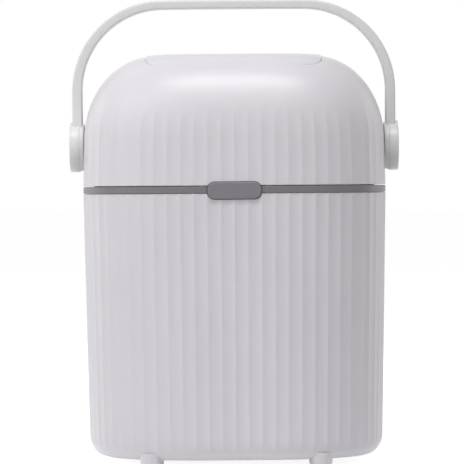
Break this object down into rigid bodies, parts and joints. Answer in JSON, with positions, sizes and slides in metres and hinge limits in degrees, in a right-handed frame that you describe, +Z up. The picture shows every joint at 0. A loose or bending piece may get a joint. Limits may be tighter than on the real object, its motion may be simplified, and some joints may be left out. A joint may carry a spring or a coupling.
{
  "type": "nappy bin",
  "caption": "Fluted rounded-square bin with a domed hinged lid, a sprung drop flap in its crown, a front push latch and a bail handle.",
  "frame": {"origin": "on the floor, in the middle of the body's plan", "axes": "+Z up, -Y towards the front with the push button, +X to the right seen from the front"},
  "size_m": [0.2712, 0.2202, 0.3784],
  "materials": {
    "outer_white": "satin",
    "inner_white": "matt",
    "seam_grey": "satin",
    "button_grey": "satin",
    "dark_plastic": "matt",
    "ring_grey": "matt",
    "seal_rubber": "soft",
    "foot_rubber": "matt",
    "steel": "plain",
    "carbon": "porous"
  },
  "bodies": {
    "bin": {"body_shell": "outer_white", "foot_pad_front_left": "foot_rubber", "foot_pad_rear_left": "foot_rubber", "foot_pad_front_right": "foot_rubber", "foot_pad_rear_right": "foot_rubber", "rim_band": "seam_grey", "inner_bucket": "inner_white", "bag_ring": "ring_grey", "latch_housing": "dark_plastic", "latch_spring": "steel", "hinge_bracket": "outer_white", "hinge_pin": "steel", "lid_spring": "steel", "latch_screw_left": "steel", "latch_screw_right": "steel", "hinge_bracket_screw_left": "steel", "hinge_bracket_screw_right": "steel"},
    "lid": {"lid_shell": "outer_white", "lid_liner": "inner_white", "lid_gasket": "seal_rubber", "latch_strike": "steel", "hinge_arm": "outer_white", "pivot_hub_left": "inner_white", "pivot_hub_right": "inner_white", "pivot_washer_left": "steel", "pivot_washer_right": "steel", "flap_pin": "steel", "filter_box": "inner_white", "carbon_block": "carbon", "filter_pin": "steel", "hinge_arm_screw_left": "steel", "hinge_arm_screw_right": "steel", "pivot_screw_left": "steel", "pivot_screw_right": "steel", "liner_screw_front_left": "steel", "liner_screw_rear_left": "steel", "liner_screw_front_right": "steel", "liner_screw_rear_right": "steel"},
    "flap": {"flap_panel": "outer_white", "flap_plate": "inner_white", "flap_seal": "seal_rubber", "flap_spring": "steel"},
    "handle": {"handle": "outer_white", "pivot_cap_left": "outer_white", "pivot_cap_right": "outer_white"},
    "button": {"latch_button": "button_grey", "latch_hook": "dark_plastic"},
    "filter_door": {"filter_door": "inner_white"}
  },
  "joints": [
    {"name": "lid_hinge", "type": "hinge", "parent": "bin", "child": "lid", "pos_m": [0, 0.1076, 0.22205], "axis": [-1, 0, 0], "range_deg": [0, 100]},
    {"name": "flap_hinge", "type": "hinge", "parent": "lid", "child": "flap", "pos_m": [0, 0.0665, 0.3184], "axis": [1, 0, 0], "range_deg": [0, 72], "stiffness_Nm_per_rad": 0.06, "springref_deg": -143.24},
    {"name": "handle_swing", "type": "hinge", "parent": "lid", "child": "handle", "pos_m": [0, 0, 0.2577], "axis": [1, 0, 0], "range_deg": [-90, 90]},
    {"name": "button_press", "type": "slide", "parent": "bin", "child": "button", "axis": [0, 1, 0], "range_m": [0, 0.0035], "stiffness_N_per_m": 600, "springref_m": -0.004, "deforming": ["latch_spring"]},
    {"name": "filter_door_hinge", "type": "hinge", "parent": "lid", "child": "filter_door", "pos_m": [0.0838, 0, 0.2336], "axis": [0, 1, 0], "range_deg": [0, 85]}
  ]
}
